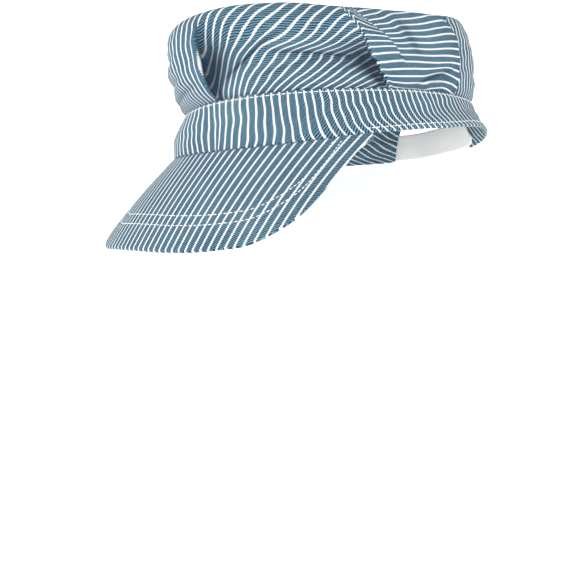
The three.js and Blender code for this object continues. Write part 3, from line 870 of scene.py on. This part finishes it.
def mixColors(tree, factor, a, b):
    node = tree.nodes.new("ShaderNodeMix")
    node.data_type = "RGBA"
    for socket, value in ((node.inputs["Factor"], factor), (node.inputs[6], a), (node.inputs[7], b)):
        if isinstance(value, (int, float, tuple)):
            socket.default_value = value
        else:
            tree.links.new(value, socket)
    return node.outputs[2]


def uvMap(tree, layer):
    uv = tree.nodes.new("ShaderNodeUVMap")
    uv.uv_map = layer
    return uv.outputs[0]


def partsOf(tree, vector):
    parts = tree.nodes.new("ShaderNodeSeparateXYZ")
    tree.links.new(vector, parts.inputs[0])
    return parts.outputs


def makeWeaveGroup():
    # diagonal twill lines with uneven yarns: a mask of the yarns and one of flecks
    tree = bpy.data.node_groups.new("twillWeave", "ShaderNodeTree")
    tree.interface.new_socket("Vector", in_out="INPUT", socket_type="NodeSocketVector")
    tree.interface.new_socket("Lines", in_out="INPUT", socket_type="NodeSocketFloat")
    tree.interface.new_socket("Yarn", in_out="OUTPUT", socket_type="NodeSocketFloat")
    tree.interface.new_socket("Fleck", in_out="OUTPUT", socket_type="NodeSocketFloat")
    source = tree.nodes.new("NodeGroupInput")
    result = tree.nodes.new("NodeGroupOutput")
    u, v = partsOf(tree, source.outputs["Vector"])[:2]
    wobble = addNode(tree, "ShaderNodeTexNoise", Scale=weaveLook["wobbleSize"], Detail=2.0)
    tree.links.new(source.outputs["Vector"], wobble.inputs["Vector"])
    slant = mathNode(tree, "ADD", u, v)
    moved = mathNode(tree, "MULTIPLY_ADD", wobble.outputs[0], weaveLook["wobble"], slant)
    turns = mathNode(tree, "MULTIPLY", moved, source.outputs["Lines"])
    wave = mathNode(tree, "SINE", mathNode(tree, "MULTIPLY", turns, 2 * math.pi))
    yarn = mathNode(tree, "MULTIPLY_ADD", wave, 0.5, 0.5)
    stretch = addNode(tree, "ShaderNodeMapping", Scale=weaveLook["fleckStretch"])
    tree.links.new(source.outputs["Vector"], stretch.inputs["Vector"])
    fleck = addNode(tree, "ShaderNodeTexNoise", Scale=1.0, Detail=3.0, Roughness=0.7)
    tree.links.new(stretch.outputs[0], fleck.inputs["Vector"])
    tree.links.new(yarn, result.inputs["Yarn"])
    tree.links.new(fleck.outputs[0], result.inputs["Fleck"])
    return tree


def makeWearGroup():
    # broad fading and small creasing that follow the piece itself
    tree = bpy.data.node_groups.new("softWear", "ShaderNodeTree")
    tree.interface.new_socket("Broad", in_out="OUTPUT", socket_type="NodeSocketFloat")
    tree.interface.new_socket("Crumple", in_out="OUTPUT", socket_type="NodeSocketFloat")
    place = tree.nodes.new("ShaderNodeTexCoord")
    result = tree.nodes.new("NodeGroupOutput")
    broad = addNode(tree, "ShaderNodeTexNoise", Scale=wearLook["broadSize"], Detail=3.0, Roughness=0.55)
    crumple = addNode(tree, "ShaderNodeTexNoise", Scale=wearLook["crumpleSize"], Detail=4.0, Roughness=0.6)
    for node, name in ((broad, "Broad"), (crumple, "Crumple")):
        tree.links.new(place.outputs["Object"], node.inputs["Vector"])
        tree.links.new(node.outputs[0], result.inputs[name])
    return tree


def startMaterial(name, roughness):
    print("material", name)
    material = bpy.data.materials.new(name)
    material.use_nodes = True
    tree = material.node_tree
    shader = tree.nodes["Principled BSDF"]
    shader.inputs["Roughness"].default_value = roughness
    return material, tree, shader


def bumpInto(tree, shader, height, distance, strength=bumpStrength):
    bump = addNode(tree, "ShaderNodeBump", Strength=strength, Distance=distance)
    tree.links.new(height, bump.inputs["Height"])
    tree.links.new(bump.outputs[0], shader.inputs["Normal"])


def placeGroup(tree, group):
    node = tree.nodes.new("ShaderNodeGroup")
    node.node_tree = group
    return node


def stripeMask(tree, across, weave):
    # 1 on a white stripe: how far its middle is in stripe pitches, with edges that the weave makes ragged
    past = mathNode(tree, "FRACT", mathNode(tree, "ADD", across, 0.5))
    away = mathNode(tree, "ABSOLUTE", mathNode(tree, "SUBTRACT", past, 0.5))
    ragged = mathNode(tree, "MULTIPLY_ADD", weave.outputs["Fleck"], denim["ragged"], -denim["ragged"] / 2)
    edge = mathNode(tree, "MULTIPLY_ADD", weave.outputs["Yarn"], -denim["serrated"], ragged)
    stripe = tree.nodes.new("ShaderNodeMapRange")
    stripe.inputs["From Min"].default_value = (denim["stripeWidth"] + denim["stripeSoft"]) / 2
    stripe.inputs["From Max"].default_value = (denim["stripeWidth"] - denim["stripeSoft"]) / 2
    tree.links.new(mathNode(tree, "ADD", away, edge), stripe.inputs["Value"])
    return stripe.outputs[0]


def makeDenim(weaveGroup, wearGroup):
    material, tree, shader = startMaterial("striped_denim", denim["roughness"])
    shader.inputs["Specular IOR Level"].default_value = clothShine
    shader.inputs["Sheen Weight"].default_value = denim["sheen"]
    weave, wear = placeGroup(tree, weaveGroup), placeGroup(tree, wearGroup)
    uv = uvMap(tree, "cloth")
    tree.links.new(uv, weave.inputs["Vector"])
    weave.inputs["Lines"].default_value = denim["twillScale"]
    stripe = stripeMask(tree, partsOf(tree, uv)[0], weave)
    worn = mathNode(tree, "MULTIPLY_ADD", wear.outputs["Broad"], denim["wornShare"], denim["wornBase"])
    flecked = mathNode(tree, "MULTIPLY_ADD", weave.outputs["Fleck"], denim["fleckShare"], worn)
    pale = mathNode(tree, "MULTIPLY_ADD", weave.outputs["Yarn"], denim["yarnShare"], flecked)
    ground = mixColors(tree, clamped(tree, pale), denim["indigo"], denim["faded"])
    whitening = mathNode(tree, "MULTIPLY_ADD", weave.outputs["Yarn"], denim["whiteYarn"], denim["whiteBase"])
    cloth = mixColors(tree, mathNode(tree, "MULTIPLY", stripe, whitening), ground, denim["white"])
    # painted shade: the second uv layer darkens the cloth towards the pocket colour in the hollows under the
    # pleats and in the creases
    depth = partsOf(tree, uvMap(tree, "paintedShade"))[0]
    shaded = clamped(tree, mathNode(tree, "MULTIPLY", depth, denim["pocketShadowShare"]))
    tree.links.new(mixColors(tree, shaded, cloth, denim["pocketShadow"]), shader.inputs["Base Color"])
    crumple = mathNode(tree, "MULTIPLY", wear.outputs["Crumple"], denim["crumple"])
    relief = mathNode(tree, "MULTIPLY_ADD", weave.outputs["Yarn"], denim["yarnRelief"], crumple)
    relief = mathNode(tree, "MULTIPLY_ADD", stripe, denim["stripeRelief"], relief)
    bumpInto(tree, shader, relief, denim["relief"], denim["reliefStrength"])
    return material


def makeTapeLook(weaveGroup, wearGroup):
    material, tree, shader = startMaterial("pale_tape", tapeLook["roughness"])
    shader.inputs["Specular IOR Level"].default_value = clothShine
    weave, wear = placeGroup(tree, weaveGroup), placeGroup(tree, wearGroup)
    tree.links.new(uvMap(tree, "cloth"), weave.inputs["Vector"])
    weave.inputs["Lines"].default_value = tapeLook["ribs"]
    soiled = mathNode(tree, "MULTIPLY", wear.outputs["Broad"], tapeLook["soiled"])
    soiled = mathNode(tree, "SUBTRACT", soiled, tapeLook["soiledBase"])
    shade = mathNode(tree, "MULTIPLY_ADD", weave.outputs["Yarn"], tapeLook["ribShare"], soiled)
    tree.links.new(mixColors(tree, shade, tapeLook["light"], tapeLook["dark"]), shader.inputs["Base Color"])
    bumpInto(tree, shader, weave.outputs["Yarn"], tapeLook["relief"])
    return material


def makeThread():
    material, tree, shader = startMaterial("white_thread", threadLook["roughness"])
    place = tree.nodes.new("ShaderNodeTexCoord")
    noise = addNode(tree, "ShaderNodeTexNoise", Scale=threadLook["spunSize"])
    tree.links.new(place.outputs["Object"], noise.inputs["Vector"])
    spun = mixColors(tree, noise.outputs[0], threadLook["light"], threadLook["dark"])
    tree.links.new(spun, shader.inputs["Base Color"])
    bumpInto(tree, shader, noise.outputs[0], threadLook["relief"])
    return material


# Camera: the photograph's angle, given in the cap's own head frame
view = {
    "azimuth": 38.2, "elevation": -8.2, "roll": 6.3, "distance": 1.235, "focalPixels": 1952,
    "imagePixels": 576, "headPixel": (331.8, 112.4), "sensor": 36, "near": 0.05, "far": 60,
}


def makeCamera():
    az, el, roll = (math.radians(view[key]) for key in ("azimuth", "elevation", "roll"))
    back = Vector((math.sin(az) * math.cos(el), -math.cos(az) * math.cos(el), math.sin(el)))
    right = Vector((math.cos(az), math.sin(az), 0))
    up = back.cross(right)
    rolledRight = right * math.cos(roll) - up * math.sin(roll)
    rolledUp = right * math.sin(roll) + up * math.cos(roll)
    turned = headPose.to_3x3() @ Matrix([rolledRight, rolledUp, back]).transposed()
    # aimed so that the middle of the head ring falls on its pixel
    half = view["imagePixels"] / 2
    across, down = view["headPixel"]
    seen = Vector((across - half, half - down, -view["focalPixels"])).normalized()
    aim = Vector((0, 0, -1)).rotation_difference(seen).to_matrix()
    data = bpy.data.cameras.new("photo_camera")
    data.sensor_width = view["sensor"]
    data.lens = view["focalPixels"] * view["sensor"] / view["imagePixels"]
    data.clip_start = view["near"]
    data.clip_end = view["far"]
    camera = bpy.data.objects.new("photo_camera", data)
    bpy.context.scene.collection.objects.link(camera)
    place = headPose.to_3x3() @ (back * view["distance"]) + headPose.translation * mm
    camera.matrix_world = Matrix.Translation(place) @ (turned @ aim.inverted()).to_4x4()
    bpy.context.scene.camera = camera
    print("camera", [round(value, 3) for value in place])


# Floor and light
studio = {
    "floor": (0.93, 0.93, 0.93, 1), "glow": 0.8, "size": 60, "world": 0.86, "aim": (0, 0, 0.06),
    "lamps": [
        {"name": "key", "at": (-1.3, -1.5, 1.7), "size": 1.8, "watts": 21},
        {"name": "front", "at": (1.0, -1.5, 0.3), "size": 0.8, "watts": 12},
    ],
}


def makeFloor():
    print("floor")
    deselectAll()
    bpy.ops.mesh.primitive_plane_add(size=studio["size"])
    floor = bpy.context.object
    floor.name = "floor"
    material = bpy.data.materials.new("floor")
    material.use_nodes = True
    shader = material.node_tree.nodes["Principled BSDF"]
    shader.inputs["Base Color"].default_value = studio["floor"]
    shader.inputs["Roughness"].default_value = 1.0
    shader.inputs["Specular IOR Level"].default_value = 0.0
    shader.inputs["Emission Color"].default_value = (1, 1, 1, 1)
    shader.inputs["Emission Strength"].default_value = studio["glow"]
    floor.data.materials.append(material)


def makeLight():
    print("light")
    world = bpy.data.worlds.new("studio")
    world.use_nodes = True
    world.node_tree.nodes["Background"].inputs["Color"].default_value = (1, 1, 1, 1)
    world.node_tree.nodes["Background"].inputs["Strength"].default_value = studio["world"]
    bpy.context.scene.world = world
    for lamp in studio["lamps"]:
        data = bpy.data.lights.new(lamp["name"], "AREA")
        data.size = lamp["size"]
        data.energy = lamp["watts"]
        light = bpy.data.objects.new(lamp["name"], data)
        light.location = lamp["at"]
        light.rotation_mode = "QUATERNION"
        light.rotation_quaternion = (Vector(studio["aim"]) - Vector(lamp["at"])).to_track_quat("-Z", "Y")
        bpy.context.scene.collection.objects.link(light)


def dress(piece, material, node=None):
    piece.data.materials.clear()
    piece.data.materials.append(material)
    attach(piece, "root")
    if node:
        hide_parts(node)


makeCamera()
makeFloor()
makeLight()
bpy.context.scene.view_settings.view_transform = "Standard"
weaveGroup, wearGroup = makeWeaveGroup(), makeWearGroup()
denimMaterial = makeDenim(weaveGroup, wearGroup)
tapeMaterial = makeTapeLook(weaveGroup, wearGroup)
threadMaterial = makeThread()
dress(makeCrown(), denimMaterial, "crown")
dress(makeBand(), denimMaterial, "band")
dress(makeVisor(), denimMaterial, "visor")
dress(makeTape(), tapeMaterial, "back_strap")
oneStitch = modelStitch()
dress(makeStitches("band_stitches", bandStitches(), *oneStitch), threadMaterial)
dress(makeStitches("visor_stitches", visorStitches(), *oneStitch), threadMaterial)
